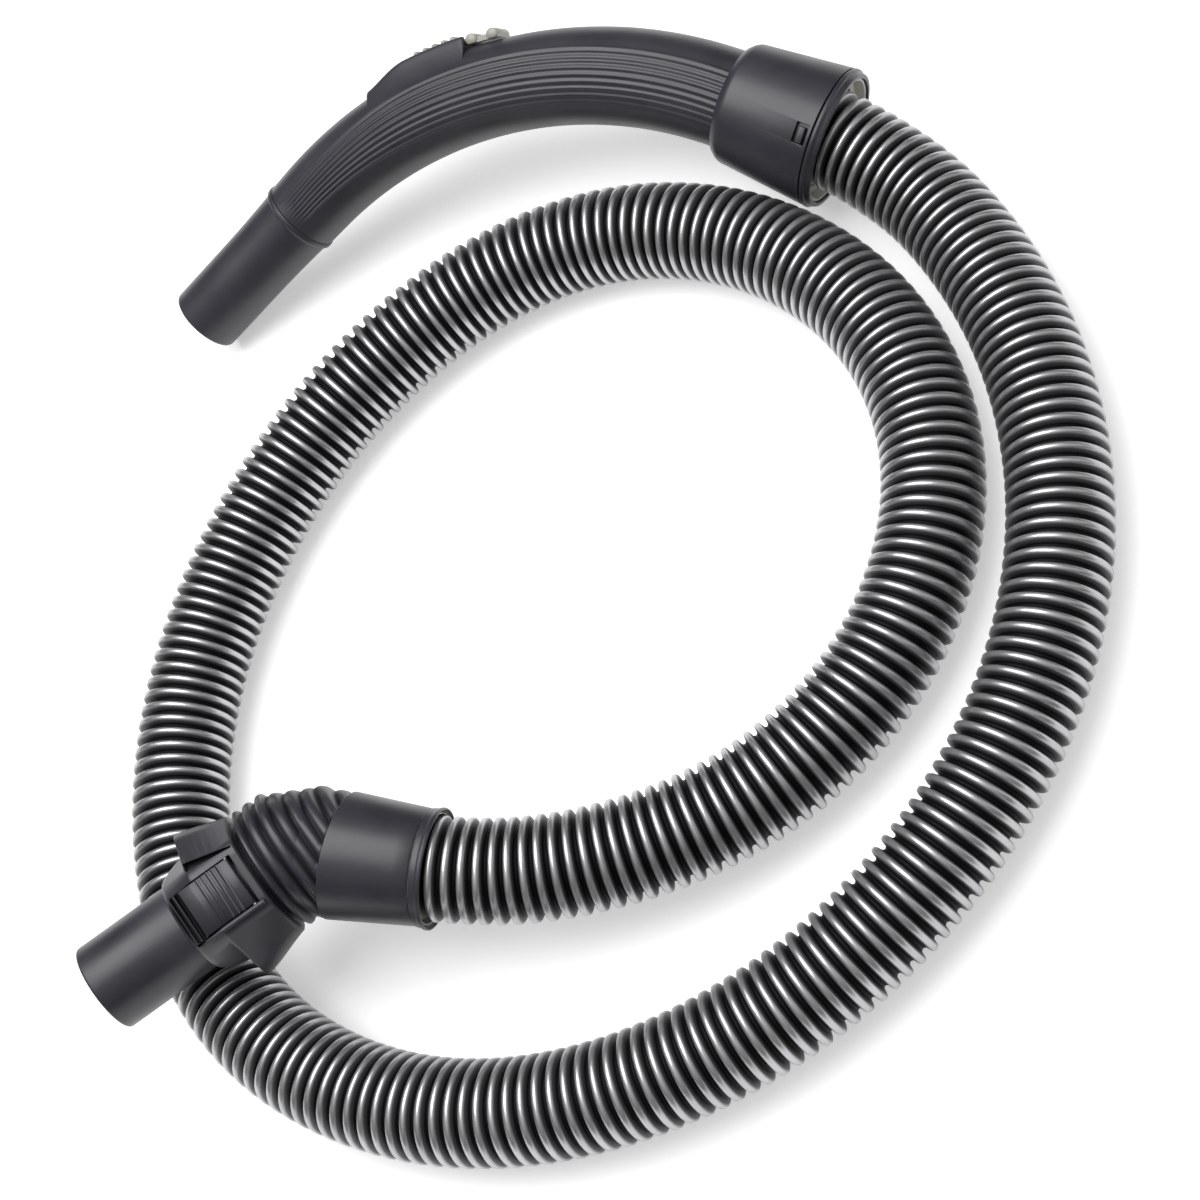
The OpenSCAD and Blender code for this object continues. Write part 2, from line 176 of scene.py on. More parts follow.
def rounded(points, radii, steps=4):
    """A closed outline with each corner rounded by its own radius."""
    out = []
    n = len(points)
    for i, p in enumerate(points):
        r = radii[i] if hasattr(radii, "__len__") else radii
        p = Vector(p)
        a, b = Vector(points[i - 1]) - p, Vector(points[(i + 1) % n]) - p
        cut = min(r, 0.45 * a.length, 0.45 * b.length)
        if cut < 1e-4 or abs(a.normalized().cross(b.normalized())) < 0.02:
            out.append(tuple(p))
            continue
        start, end = p + cut * a.normalized(), p + cut * b.normalized()
        for k in range(steps + 1):
            t = k / steps
            out.append(tuple((1 - t) ** 2 * start + 2 * t * (1 - t) * p + t * t * end))
    return out


def lathe_data(profile, where, sides):
    """A closed outline of (radius, z) in millimetres, turned about local Z."""
    verts = []
    for r, z in profile:
        for k in range(sides):
            a = 2 * math.pi * k / sides
            verts.append(where @ Vector((r * math.cos(a) * MM, r * math.sin(a) * MM, z * MM)))
    return verts, tube_faces(len(profile), sides)


def lathe(name, profile, where, body, material, sides=112, smooth=38):
    verts, faces = lathe_data(profile, where, sides)
    return make(name, verts, faces, body, material, smooth)


def sweep_outline(outline, where, half_width, soft=0.0):
    """A closed outline of (a, b) in millimetres drawn out along local X, with softened side edges."""
    n = len(outline)
    middle = Vector((sum(p[0] for p in outline) / n, sum(p[1] for p in outline) / n))
    verts, rows = [], [(-half_width, soft), (-half_width + soft, 0.0), (half_width - soft, 0.0), (half_width, soft)]
    if soft == 0:
        rows = [(-half_width, 0.0), (half_width, 0.0)]
    for x, inset in rows:
        for k, p in enumerate(outline):
            q = Vector(p)
            if inset:
                before, after = Vector(outline[k - 1]), Vector(outline[(k + 1) % n])
                edge = (after - before).normalized()
                inward = Vector((-edge.y, edge.x))
                if inward.dot(middle - q) < 0:
                    inward = -inward
                q = q + inward * inset
            verts.append(where @ Vector((x * MM, q.x * MM, q.y * MM)))
    faces = tube_faces(len(rows), n, closed_rings=False)
    faces.append(tuple(range(n)))
    faces.append(tuple(range((len(rows) - 1) * n, len(rows) * n)))
    return verts, faces


def block(name, lo, hi, where):
    """A plain box used only to cut with."""
    verts = [where @ Vector((x * MM, y * MM, z * MM)) for x in (lo[0], hi[0]) for y in (lo[1], hi[1])
             for z in (lo[2], hi[2])]
    faces = [(0, 1, 3, 2), (4, 6, 7, 5), (0, 4, 5, 1), (2, 3, 7, 6), (0, 2, 6, 4), (1, 5, 7, 3)]
    return make(name, verts, faces, None)


def apply_modifiers(obj):
    bpy.context.view_layer.update()
    graph = bpy.context.evaluated_depsgraph_get()
    old = obj.data
    obj.data = bpy.data.meshes.new_from_object(obj.evaluated_get(graph))
    obj.modifiers.clear()
    bpy.data.meshes.remove(old)


def combine(obj, others, operation):
    for other in others:
        step = obj.modifiers.new("step", "BOOLEAN")
        step.operation = operation
        step.solver = "EXACT"
        step.object = other
    apply_modifiers(obj)
    for other in others:
        bpy.data.objects.remove(other)


def soften(obj, width, angle=35, segments=2, smooth=38):
    step = obj.modifiers.new("soften", "BEVEL")
    step.width = width * MM
    step.segments = segments
    step.limit_method = "ANGLE"
    step.angle_limit = math.radians(angle)
    step.use_clamp_overlap = True
    apply_modifiers(obj)
    finish_mesh(obj, smooth)


# ---------------------------------------------------------------- materials
def new_material(name):
    material = bpy.data.materials.new(name)
    material.use_nodes = True
    nodes, links = material.node_tree.nodes, material.node_tree.links
    shader = nodes["Principled BSDF"]
    place = nodes.new("ShaderNodeTexCoord").outputs["Object"]
    return material, nodes, links, shader, place


def noise(nodes, links, place, scale, detail=3.0, rough=0.55):
    node = nodes.new("ShaderNodeTexNoise")
    node.inputs["Scale"].default_value = scale
    node.inputs["Detail"].default_value = detail
    node.inputs["Roughness"].default_value = rough
    links.new(place, node.inputs["Vector"])
    return node.outputs["Fac"]


def spread(nodes, links, value, lo, hi, from_lo=0.3, from_hi=0.7):
    node = nodes.new("ShaderNodeMapRange")
    node.inputs["From Min"].default_value = from_lo
    node.inputs["From Max"].default_value = from_hi
    node.inputs["To Min"].default_value = lo
    node.inputs["To Max"].default_value = hi
    links.new(value, node.inputs["Value"])
    return node.outputs["Result"]


def mixed(nodes, links, fac, a, b):
    node = nodes.new("ShaderNodeMix")
    node.data_type = "RGBA"
    for socket, colour in (("A", a), ("B", b)):
        target = [s for s in node.inputs if s.name == socket and s.type == "RGBA"][0]
        if hasattr(colour, "links"):
            links.new(colour, target)
        else:
            target.default_value = (*colour, 1)
    links.new(fac, node.inputs["Factor"])
    return [s for s in node.outputs if s.type == "RGBA"][0]


def bump(nodes, links, height, distance, strength=1.0, before=None):
    node = nodes.new("ShaderNodeBump")
    node.inputs["Distance"].default_value = distance
    node.inputs["Strength"].default_value = strength
    links.new(height, node.inputs["Height"])
    if before:
        links.new(before, node.inputs["Normal"])
    return node.outputs["Normal"]


def moulded(name, colour, rough=(0.36, 0.46), grain=0.00004, specular=0.5):
    """Moulded plastic: a fine spark-eroded grain, slow changes of gloss, and painted shade in anything marked as a
    groove: near-black colour and little reflection there.
    """
    material, nodes, links, shader, place = new_material(name)
    slow = noise(nodes, links, place, 38, 4)
    fine = noise(nodes, links, place, 2400, 2)
    lighter = tuple(c * 1.16 + 0.002 for c in colour)
    darker = tuple(c * 0.88 for c in colour)
    depth = nodes.new("ShaderNodeAttribute")
    depth.attribute_name = "groove"
    surface = mixed(nodes, links, spread(nodes, links, slow, 0, 1), darker, lighter)
    # Painted shade: the colour goes to near-black where the groove mark is high.
    links.new(mixed(nodes, links, depth.outputs["Fac"], surface, (0.003, 0.003, 0.0035)), shader.inputs["Base Color"])
    links.new(spread(nodes, links, slow, rough[0], rough[1]), shader.inputs["Roughness"])
    # Painted shade: reflection fades out where the groove mark is high.
    shine = spread(nodes, links, depth.outputs["Fac"], specular, 0.05, 0.0, 1.0)
    links.new(shine, shader.inputs["Specular IOR Level"])
    first = bump(nodes, links, fine, grain, 0.55)
    links.new(bump(nodes, links, noise(nodes, links, place, 620, 3), grain * 1.6, 0.35, first),
              shader.inputs["Normal"])
    return material


charcoal = moulded("charcoal plastic", (0.026, 0.025, 0.033), rough=(0.33, 0.42))
grip_finish = moulded("grip plastic", (0.027, 0.026, 0.034), rough=(0.34, 0.43), grain=0.00005)
light = moulded("light plastic", (0.52, 0.51, 0.45), rough=(0.35, 0.48))
olive = moulded("regulator plastic", (0.30, 0.295, 0.26), rough=(0.30, 0.42))
rubber = moulded("black rubber", (0.012, 0.012, 0.013), rough=(0.6, 0.75), grain=0.00008, specular=0.3)


def hose_finish():
    """Glossy blow-moulded plastic with a metallic pigment; painted shade darkens the grooves and the bore, which are
    also rougher.
    """
    material, nodes, links, shader, place = new_material("hose plastic")
    depth = nodes.new("ShaderNodeAttribute")
    depth.attribute_name = "groove"
    slow = noise(nodes, links, place, 55, 4)
    crest = mixed(nodes, links, spread(nodes, links, slow, 0, 1), (0.42, 0.42, 0.43), (0.50, 0.50, 0.51))
    # Painted shade: near-black colour where the groove mark is high.
    links.new(mixed(nodes, links, depth.outputs["Fac"], crest, (0.006, 0.006, 0.007)), shader.inputs["Base Color"])
    rough = spread(nodes, links, noise(nodes, links, place, 420, 3), 0.28, 0.36)
    node = nodes.new("ShaderNodeMath")
    node.operation = "MULTIPLY_ADD"
    node.inputs[1].default_value = 0.3
    links.new(depth.outputs["Fac"], node.inputs[0])
    links.new(rough, node.inputs[2])
    links.new(node.outputs[0], shader.inputs["Roughness"])
    links.new(bump(nodes, links, noise(nodes, links, place, 900, 2), 0.00005, 0.4), shader.inputs["Normal"])
    shader.inputs["Metallic"].default_value = 0.8
    return material


hose_plastic = hose_finish()


def store_groove_shade(obj, shade_amounts):
    """Store how deep in a groove every point of a mesh lies, from 0 to 1, as the amount of painted shade its material
    puts there.
    """
    marks = obj.data.attributes.new("groove", "FLOAT", "POINT")
    marks.data.foreach_set("value", np.array(shade_amounts, np.float32))


# Marks painted shade, point by point, from a function of position.
def mark_groove_shade(obj, shade_of):
    store_groove_shade(obj, [shade_of(v.co) for v in obj.data.vertices])


def steel_finish():
    material, nodes, links, shader, place = new_material("spring steel")
    streak = noise(nodes, links, place, 700, 3)
    links.new(mixed(nodes, links, spread(nodes, links, streak, 0, 1), (0.50, 0.51, 0.52), (0.66, 0.67, 0.68)),
              shader.inputs["Base Color"])
    links.new(spread(nodes, links, streak, 0.22, 0.36), shader.inputs["Roughness"])
    shader.inputs["Metallic"].default_value = 1.0
    return material


steel = steel_finish()

# ---------------------------------------------------------------- hose
PITCH = 5.8 * MM
HOSE_R = 20 * MM
HOSE_SIDES = 44
BORE_DEPTH = 4.4
# Place within one pitch, depth below the crest in millimetres, and how much painted shade that place gets.
RIB = [(0.00, 3.6, 1.0), (0.16, 3.1, 1.0), (0.25, 0.9, 0.7), (0.36, 0.0, 0.0), (0.64, 0.0, 0.0),
       (0.75, 0.9, 0.7), (0.84, 3.1, 1.0)]


def ring(place, way, radius, sides):
    side = Vector((0, 0, 1)).cross(way).normalized()
    up = way.cross(side)
    return [place + radius * (math.cos(a) * side + math.sin(a) * up)
            for a in (2 * math.pi * k / sides for k in range(sides))]


def build_hose():
    count = int(hose_line.length / PITCH)
    pitch = hose_line.length / count
    verts, groove = [], []
    rings = 0
    for i in range(count):
        for t, depth, shade in RIB:
            place, way = hose_line.at((i + t) * pitch)
            verts += ring(place, way, HOSE_R - depth * MM, HOSE_SIDES)
            groove += [shade] * HOSE_SIDES
            rings += 1
    place, way = hose_line.at(hose_line.length)
    verts += ring(place, way, HOSE_R - RIB[0][1] * MM, HOSE_SIDES)
    groove += [1.0] * HOSE_SIDES
    rings += 1
    # Painted shade: the end ring and the inside of the bore are marked fully dark.
    inside = 100
    for i in range(inside + 1):
        place, way = hose_line.at(hose_line.length * (1 - i / inside))
        verts += ring(place, way, HOSE_R - BORE_DEPTH * MM, HOSE_SIDES)
        groove += [1.0] * HOSE_SIDES
        rings += 1
    hose = make("hose_tube", verts, tube_faces(rings, HOSE_SIDES), None, hose_plastic, 180)
    store_groove_shade(hose, groove)
    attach(hose, "hose_run")
    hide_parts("hose")
    return hose


hose = build_hose()

# ---------------------------------------------------------------- wand spigot
lathe("spigot", rounded([(13.5, 0), (16, 0), (16, 45), (16.75, 66.6), (17.0, 67.0), (17.9, 67.5), (17.9, 69.5),
                         (17.2, 69.9), (14.6, 69.9), (14.6, 80), (13.5, 80)],
                        [0.7, 1.1, 20, 0.2, 0.2, 0.6, 0.6, 0.1, 0.1, 0.4, 0.4]),
      at_spigot, "handle", charcoal)
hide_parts("wand_spigot")

# ---------------------------------------------------------------- ribbed grip
GRIP_FROM, GRIP_TO = 70, ARCH_START + ARCH_LEN + 1
RIBS = 9


def arch_place(s):
    """Place and outward direction at a distance along the grip, in the plane of its bend, in millimetres."""
    if s < ARCH_START:
        heading = Vector((cos_h, sin_h, 0))
        place = s * heading
    elif s > ARCH_START + ARCH_LEN:
        heading = Vector((cos_h, -sin_h, 0))
        place = arch_p2 + (s - ARCH_START - ARCH_LEN) * heading
    else:
        a = math.radians(90 + HALF) - (s - ARCH_START) / ARCH_R
        place = arch_c + ARCH_R * Vector((math.cos(a), math.sin(a), 0))
        heading = Vector((math.sin(a), -math.cos(a), 0))
    return place, Vector((-heading.y, heading.x, 0))


def grip_radius(s):
    u = min(1, (s - GRIP_FROM) / (GRIP_TO - GRIP_FROM))
    return 17.4 + 3.0 * (1 - (1 - u) ** 2)


def ease(t):
    t = max(0.0, min(1.0, t))
    return t * t * (3 - 2 * t)


def grip_section(s):
    """(angle, height over the smooth tube) of every point round the grip. The ribs fan out from the collar."""
    fan = ease((s - 72) / 80)
    first, last = 72 - 19 * fan, 120 + 6 * fan
    height = 0.48 * ease((s - 72.5) / 5)
    side = []
    for rib in range(RIBS):
        for t, h in ((0.0, 0.0), (0.16, 0.12), (0.32, 0.8), (0.5, 1.0), (0.68, 0.8), (0.84, 0.12)):
            side.append((first + (last - first) * (rib + t) / RIBS, h * height))
    side.append((last, 0.0))
    plain = 10
    out = [(first * k / plain, 0.0) for k in range(plain)]
    out += side
    rest = 180 - last
    out += [(last + rest * k / plain, 0.0) for k in range(1, plain)]
    mirror = [(360 - a, h) for a, h in reversed(out) if a > 0]
    return out + [(180, 0.0)] + mirror


def build_grip():
    spots = [GRIP_FROM + (GRIP_TO + 3 - GRIP_FROM) * i / 112 for i in range(113)]
    verts = []
    sides = len(grip_section(100))
    for s in spots:
        place, out = arch_place(s)
        for a, h in grip_section(s):
            a = math.radians(a)
            verts.append(at_arch @ ((place + (grip_radius(s) + h) * (
                math.cos(a) * out + math.sin(a) * Vector((0, 0, 1)))) * MM))
    for s in reversed(spots[::4]):
        place, out = arch_place(s)
        for a, h in grip_section(s):
            a = math.radians(a)
            verts.append(at_arch @ ((place + (grip_radius(s) - 2.6) * (
                math.cos(a) * out + math.sin(a) * Vector((0, 0, 1)))) * MM))
    rings = len(spots) + len(spots[::4])
    grip = make("grip", verts, tube_faces(rings, sides), "handle", grip_finish, 60)
    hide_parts("grip_body")


build_grip()

# ---------------------------------------------------------------- suction regulator
HOUSING_FROM, HOUSING_TO = 128, 174
TRACK_HALF = 6.3


def arch_angle(s):
    return math.radians(90 + HALF) - (s - ARCH_START) / ARCH_R


def over(s, height):
    a = arch_angle(s)
    return Vector((arch_c.x + (ARCH_R + height) * math.cos(a), arch_c.y + (ARCH_R + height) * math.sin(a)))


def build_housing():
    """A saddle whose sides slope out of the grip, with a track for the slider that is open at the rear."""
    last = HOUSING_TO - HOUSING_FROM
    spots = [HOUSING_FROM + d for d in [0, 0.3, 0.9] + [1.8 + k for k in range(43)] + [last - 0.6, last - 0.2, last]]
    verts, sides = [], 0
    for s in spots:
        rise = ease((s - HOUSING_FROM + 2) / 22)
        end = min((s - HOUSING_FROM) / 0.9, (HOUSING_TO - s) / 0.6, 1.0)
        top = 19.5 + 4.5 * rise - 0.3 * (1 - end) ** 2
        r = grip_radius(s) - 0.05
        side = math.radians(50)
        foot = Vector((r * math.sin(side), r * math.cos(side)))
        knee = foot + (0.42 * (top - foot.y)) * Vector((-math.cos(side), math.sin(side))) / math.sin(side)
        rim = Vector((8.3 - 0.3 * (1 - end), top))
        floor = 20.4 if s > 150 else top
        row = [(0.8 * -foot.x, 0.8 * foot.y)]
        for k in range(9):
            t = k / 8
            q = (1 - t) ** 2 * foot + 2 * t * (1 - t) * knee + t * t * rim
            row.append((-q.x, q.y))
        row[-1] = (-rim.x - 0.1, top - 0.45)
        row += [(-rim.x + 0.4, top), (-TRACK_HALF - 0.25, top), (-TRACK_HALF, top - 0.25), (-TRACK_HALF, floor),
                (0, floor)]
        if floor == top:
            row[-3] = (-TRACK_HALF, top)
            row[-2] = (-0.5 * TRACK_HALF, top)
        row += [(-z, h) for z, h in reversed(row[:-1])]
        sides = len(row)
        for z, height in row:
            p = over(s, height)
            verts.append(at_arch @ (Vector((p.x, p.y, z)) * MM))
    faces = tube_faces(len(spots), sides, closed_rings=False)
    faces += [tuple(range(sides)), tuple(range((len(spots) - 1) * sides, len(spots) * sides))]
    housing = make("regulator_cover", verts, faces, "handle", grip_finish, 42)
    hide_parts("regulator_housing")


build_housing()


def build_slider():
    """The slider's plate with cross ridges in the track, and two turned bars for the finger."""
    verts = []
    spots = [151, 151.3] + [151.8 + 0.4 * k for k in range(89)] + [187.6, 188]
    for s in spots:
        phase = (s - 152.8) % 4
        ridge = ease(1.6 - min(phase, 4 - phase)) if s < 170 else 0.0
        lift = 3.0 * ridge + (0.12 * math.cos(2 * math.pi * s / 1.6) if s > 171 else 0.0)
        under = 21.5 - 1.3 * ease((s - 174.4) / 1.2)
        for z, height in ((-6, under), (-6, 22.2 + lift), (-5.5, 22.5 + lift), (5.5, 22.5 + lift),
                          (6, 22.2 + lift), (6, under)):
            p = over(s, height)
            verts.append(at_arch @ (Vector((p.x, p.y, z)) * MM))
    faces = tube_faces(len(spots), 6, closed_rings=False)
    faces += [tuple(range(6)), tuple(range((len(spots) - 1) * 6, len(spots) * 6))]
    slider = make("regulator_shoe", verts, faces, "regulator", olive, 42)
    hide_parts("regulator_slider")
    across = Matrix(((0, 1, 0, 0), (0, 0, 1, 0), (1, 0, 0, 0), (0, 0, 0, 1)))
    for number, s in ((1, 176.6), (2, 185.4)):
        # A round bar with its underside cut off level, clear of the grip.
        outline = []
        for k in range(28):
            a = 2 * math.pi * k / 28
            p = over(s + 2.5 * math.cos(a), max(22.0 + 2.5 * math.sin(a), 20.2 + 0.02 * math.cos(a)))
            outline.append((p.x, p.y))
        verts, faces = sweep_outline(outline, at_arch @ across, 6.6, 0.45)
        make(f"regulator_bar_{number}", verts, faces, "regulator", olive, 48)


build_slider()

# ---------------------------------------------------------------- handle cuff, ring and bush
WINDOWS = (180, 300, 60)
cuff = lathe("cuff", rounded([(20.8, -48), (22.6, -48), (25.2, -44.9), (29.0, -4.9), (26.4, -4.9), (26.4, -14.2),
                              (24.8, -15), (22.9, -37), (20.8, -37)],
                             [0.4, 1.0, 3.4, 0.4, 0.1, 0.1, 0.1, 0.1, 0.4], 6),
             at_cuff, "handle", charcoal, 128)
combine(cuff, [block("cut", (24, -4.2, -11.8), (32, 4.2, -6.2), at_cuff @ turn(0, 0, a)) for a in WINDOWS],
        "DIFFERENCE")
soften(cuff, 0.25)
to_cuff = at_cuff.inverted()


# Painted shade on the inner faces round the windows of the cuff.
def window_shade(co):
    p = to_cuff @ co / MM
    return 1.0 if -12.2 < p.z < -5.8 and 26.5 > p.xy.length > 25.9 else 0.0


mark_groove_shade(cuff, window_shade)
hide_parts("handle_cuff")

lathe("cuff_ring", rounded([(28.6, -4.5), (29.2, -4.1), (29.2, -2.7), (28.4, -2.2), (28.0, 0), (26.2, 0),
                            (26.2, -2.2), (27.5, -2.2), (27.5, -3.9), (24.8, -3.9), (24.8, -14), (26.2, -14),
                            (26.2, -4.5)],
                           [0.2, 0.5, 0.5, 0.5, 0.6, 0.3, 0, 0, 0, 0, 0, 0, 0]),
      at_cuff, "handle", charcoal, 128)
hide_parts("handle_ring")
for number, a in enumerate(WINDOWS):
    tab = block(f"ring_tab_{number + 1}", (25.5, -2.7, -10.4), (28.4, 4.0, -7.5), at_cuff @ turn(0, 0, a))
    tab.data.materials.append(charcoal)
    soften(tab, 0.4, segments=3)
    # Painted shade on the lower sides of each tab.
    mark_groove_shade(tab, lambda co: 1.0 if (to_cuff @ co / MM).xy.length < 27 else 0.0)
    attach(tab, "handle")

lathe("bush_handle", rounded([(20.1, -32.2), (22.6, -32.2), (22.6, -6.4), (24.5, -6.4), (24.5, -3.6), (27.2, -3.6),
                              (27.2, -2.5), (25.9, -2.5), (25.9, -0.9), (25.0, -0.9), (23.4, -5.2), (21.3, -5.2),
                              (20.1, -10)],
                             [0.3, 0.3, 0.1, 0.1, 0.1, 0.3, 0.3, 0.1, 0.3, 0.4, 0.6, 0.4, 0.1]),
      at_cuff, "hose_run", light)
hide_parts("handle_bush")

# ---------------------------------------------------------------- machine end: elbow, ring, bush
BALL_R = 25.8
CONE_R = 25.35
AIRWAY_R = 16.4
# Nearly zero, so that a turned end closes without points on one spot.
POLE_R = 0.02
GROOVE_PITCH = 5.7
RIB_DEPTH = 1.1
# How far along the mouth's axis the ribs reach, on the inner side of the bend and on the outer side.
RIBS_END = (15.0, 19.0)


def rib_cut(z):
    """How deep in a groove a plane square to the connector's axis lies, from 0 on a rib to 1."""
    if z > 12.6:
        return 0.0
    return (0.5 + 0.5 * math.cos(2 * math.pi * (z - 9.6) / GROOVE_PITCH)) ** 1.7


def ball_radius(z):
    return math.sqrt(max(0.0, BALL_R ** 2 - z * z)) if z < 0 else BALL_R


def ribbed_profile():
    out = [(AIRWAY_R, 13.2), (24.6, 13.2), (25.4, 12.6)]
    out += [(ball_radius(z) - RIB_DEPTH * rib_cut(z), z) for z in (12.4 - 0.24 * k for k in range(152))]
    out += [(POLE_R, -24.1), (POLE_R, -16.0), (15.5, -5.0), (AIRWAY_R, 0.0)]
    return out


mouth_to_elbow = turn(0, 180 - ELBOW_BEND, 0)


def ribs_fade(x, z):
    """1 where the ribs run over the start of the cone, 0 beyond their slanting end."""
    end = RIBS_END[0] + (RIBS_END[1] - RIBS_END[0]) * (0.5 + x / 50)
    return ease((end - z) / 0.9 + 0.5)


def polar(radius, k, sides, z):
    """The k-th of a circle of points, in millimetres."""
    a = 2 * math.pi * k / sides
    return Vector((radius * math.cos(a), radius * math.sin(a), z))


def cone_radius(z):
    """The cone, and below it the ball that it grows out of, by height along the mouth's axis."""
    radius = CONE_R
    if z > 6.6:
        radius -= 3.15 * (z - 6.6) / 43.8
    else:
        radius = min(radius, math.sqrt(BALL_R ** 2 - z * z) - 0.6 * (6.6 - z) / 2.6 + 0.42)
    return radius - 0.35 * max(0.0, (z - 49.6) / 0.8)


def build_cone():
    """The smooth cone towards the hose; the grooves run on into its first centimetre."""
    sides = 240
    heights = [4.0 + 0.3 * k for k in range(56)] + [22, 26, 32, 38, 44, 49.6, 50.1, 50.4]
    verts = [mouth_to_elbow @ polar(POLE_R, k, sides, 4) for k in range(sides)]
    for z in heights:
        radius = cone_radius(z)
        for k in range(sides):
            p = polar(radius, k, sides, z)
            deep = rib_cut((mouth_to_elbow @ p).z) * ribs_fade(p.x, z)
            p.xy *= (radius - 0.5 * ribs_fade(p.x, z) - RIB_DEPTH * deep) / radius
            verts.append(mouth_to_elbow @ p)
    for r, z in ((21.3, 50.4), (21.3, 33), (AIRWAY_R, 33), (AIRWAY_R, 12), (POLE_R, 9)):
        verts += [mouth_to_elbow @ polar(r, k, sides, z) for k in range(sides)]
    return make("cone", [at_elbow @ (v * MM) for v in verts], tube_faces(len(verts) // sides, sides), None)


def build_ball():
    """The ribbed side of the elbow, turned about the connector's axis and flattened on the outside of the bend."""
    verts, sides = [], 160
    for r, z in ribbed_profile():
        chamfer = 25.0 + 0.53 * z if -23 < z < 0 else r
        flat = max(0.0, ball_radius(z) - chamfer) if r > 1 else 0.0
        for k in range(sides):
            a = 2 * math.pi * k / sides
            radius = r - flat * max(0.0, -math.cos(a)) ** 1.5
            verts.append(at_elbow @ (Vector((radius * math.cos(a), radius * math.sin(a), z)) * MM))
    return make("elbow", verts, tube_faces(len(verts) // sides, sides), "hose_run", charcoal)


elbow = build_ball()
combine(elbow, [build_cone()], "UNION")
finish_mesh(elbow, 50)
to_elbow, to_mouth = at_elbow.inverted(), at_mouth.inverted()


# Painted shade in the elbow's grooves, fading where the ribs run out on the cone.
def rib_shade(co):
    p, q = to_elbow @ co / MM, to_mouth @ co / MM
    return 0.9 * rib_cut(p.z) ** 1.3 * (ribs_fade(q.x, q.z) if q.z > 0 else 1.0)


mark_groove_shade(elbow, rib_shade)
lathe("elbow_neck", rounded([(AIRWAY_R, 12.4), (18.9, 12.4), (18.9, 31), (AIRWAY_R, 31)], 0.4), at_elbow,
      "hose_run", rubber, 96)
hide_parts("elbow_body")

lathe("rim_ring", rounded([(21.3, 50.9), (22.5, 50.9), (22.6, 53.0), (23.2, 54.2), (23.0, 55.3), (22.4, 55.5),
                           (22.0, 54.4), (21.3, 53.8)],
                          [0.1, 0.4, 0.4, 0.4, 0.3, 0.2, 0.4, 0.2]), at_mouth, "hose_run", charcoal)
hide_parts("machine_ring")
lathe("bush_machine", rounded([(20.1, 33.4), (21.2, 33.4), (21.2, 54.2), (20.7, 54.2), (20.1, 48)],
                              [0.2, 0.2, 0.3, 0.3, 0.1]), at_mouth, "hose_run", light)
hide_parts("machine_bush")

# ---------------------------------------------------------------- connector: tube, shroud, levers
lathe("connector", rounded([(19.0, 15.2), (21, 15.2), (21, 33), (18, 34), (18, 91), (15.2, 91), (15.2, 31.6),
                            (19.0, 31.6)], [0.2, 0.3, 0.5, 0.5, 2.2, 0.8, 0.2, 0.2], 6),
      at_latch, "connector", charcoal)
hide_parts("connector_tube")


def shroud_outline(z):
    """Outline of the shroud at a height: flat where the levers sit, drawn out into a wing on each side."""
    if z <= 36:
        t = ease((z - 13.2) / 22.8) * 0.5 + 0.5 * (z - 15.2) / 20.8
        circles = [(x, y, 8.0) for x in (-9, 9) for y in (-16.6, 16.6)]
        circles += [(x * (12 + 6 * max(0.0, min(1.0, t))), 0, 14.0) for x in (-1, 1)]
    else:
        drop, t = ease((z - 36) / 1.4), (z - 36) / 14
        circles = [(x * (1 - t), y * (1 - t), 8.0 + 11.6 * t) for x in (-9, 9) for y in (-16.6, 16.6)]
        circles += [(x * (18 - 8.6 * drop) * (1 - t ** 1.3), 0, 14.0 + 5.6 * t) for x in (-1, 1)]
    out = []
    for k in range(128):
        a = 2 * math.pi * (k + 0.5) / 128
        n = Vector((math.cos(a), math.sin(a)))
        c = max(circles, key=lambda q: q[0] * n.x + q[1] * n.y + q[2])
        out.append(Vector((c[0], c[1])) + c[2] * n)
    return out


def shroud_height(x, z):
    """How high the shroud's broad side stands at a place across it."""
    ring_points = [p for p in shroud_outline(z) if p.y > 0]
    ring_points.sort(key=lambda p: p.x)
    return float(np.interp(x, [p.x for p in ring_points], [p.y for p in ring_points]))


def slot_prism(name, here, reach, deep, shallow):
    """A band beside the lever that widens away from the elbow, between two depths under the shroud's surface."""
    verts = []
    for k in range(13):
        z = reach[0] + (reach[1] - reach[0]) * k / 12
        inner, outer = -12.3 - 0.12 * (z - 16.6), -13.0 - 0.28 * (z - 16.6)
        for x, depth in ((inner, deep), (outer, deep), (outer, shallow), (inner, shallow)):
            verts.append(here @ (Vector((x, shroud_height(x, z) - depth, z)) * MM))
    return make(name, verts, tube_faces(13, 4, closed_rings=False) + [(0, 1, 2, 3), (48, 49, 50, 51)], None)


